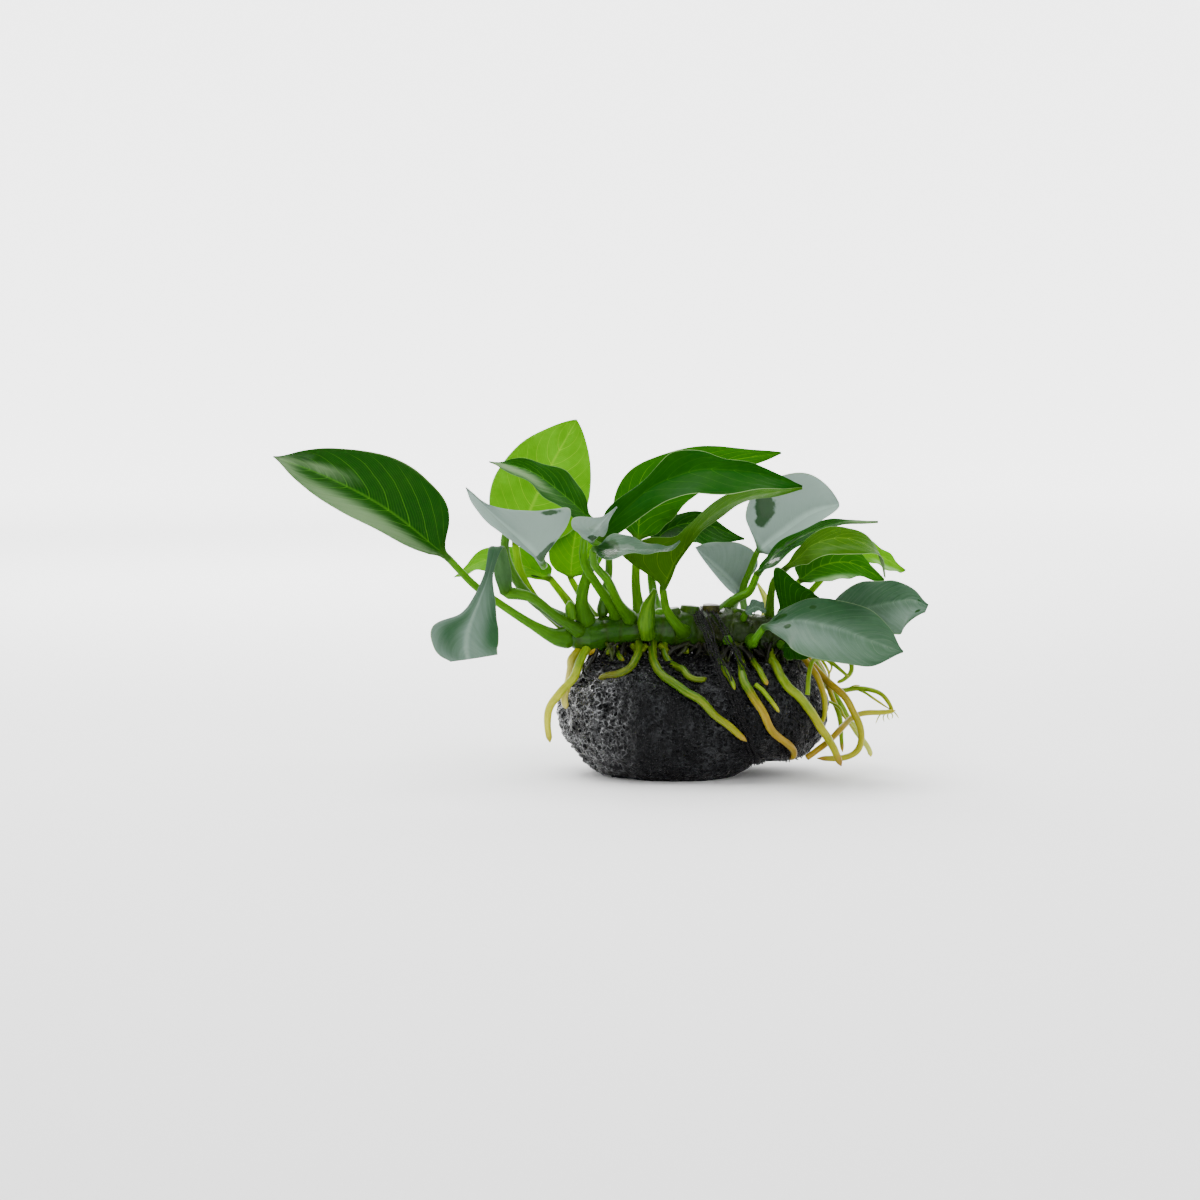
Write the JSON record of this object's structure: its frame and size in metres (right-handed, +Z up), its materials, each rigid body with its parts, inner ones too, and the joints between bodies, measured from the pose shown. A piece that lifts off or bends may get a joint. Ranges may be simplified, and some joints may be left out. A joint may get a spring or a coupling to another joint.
{
  "type": "anubias plant on lava stone",
  "caption": "Broad-leaved water plant with a creeping rhizome and hanging roots, tied with dark thread to a rounded porous lava stone that rests on its flat underside.",
  "frame": {"origin": "middle of the flat patch under the stone, on the surface it rests on", "axes": "+Z up, +X to the right of the plant's front, -Y the side that the plant is seen from"},
  "size_m": [0.2248, 0.0939, 0.1222],
  "materials": {
    "stone": "wet porous",
    "rhizome": "smooth wet",
    "deep_leaf": "glossy",
    "olive_leaf": "glossy",
    "fresh_leaf": "glossy",
    "bright_leaf": "glossy",
    "grey_leaf": "wet sheen",
    "shoot": "satin",
    "sheath": "satin",
    "root": "satin",
    "thread": "twisted thread"
  },
  "bodies": {
    "root": {"stone": "stone", "rhizome": "rhizome", "leaf_01": "deep_leaf", "leaf_02": "grey_leaf", "leaf_03": "fresh_leaf", "leaf_04": "bright_leaf", "leaf_05": "deep_leaf", "leaf_06": "grey_leaf", "leaf_07": "grey_leaf", "leaf_08": "grey_leaf", "leaf_09": "bright_leaf", "leaf_10": "fresh_leaf", "leaf_11": "deep_leaf", "leaf_12": "olive_leaf", "leaf_13": "deep_leaf", "leaf_14": "grey_leaf", "leaf_15": "grey_leaf", "leaf_16": "deep_leaf", "leaf_17": "olive_leaf", "leaf_18": "bright_leaf", "leaf_19": "bright_leaf", "leaf_20": "grey_leaf", "leaf_21": "grey_leaf", "leaf_22": "deep_leaf", "small_leaf_01": "grey_leaf", "small_leaf_02": "deep_leaf", "shoot_01": "shoot", "sheath_01": "sheath", "root_01": "root", "root_02": "root", "root_03": "root", "root_04": "root", "root_05": "root", "root_06": "root", "root_07": "root", "root_08": "root", "root_09": "root", "root_10": "root", "root_11": "root", "root_12": "root", "root_13": "root", "root_14": "root", "root_15": "root", "root_16": "root", "root_17": "root", "root_18": "root", "root_19": "root", "root_20": "root", "tie_thread_01": "thread", "tie_thread_02": "thread", "tie_thread_03": "thread", "tie_thread_04": "thread"}
  },
  "joints": []
}
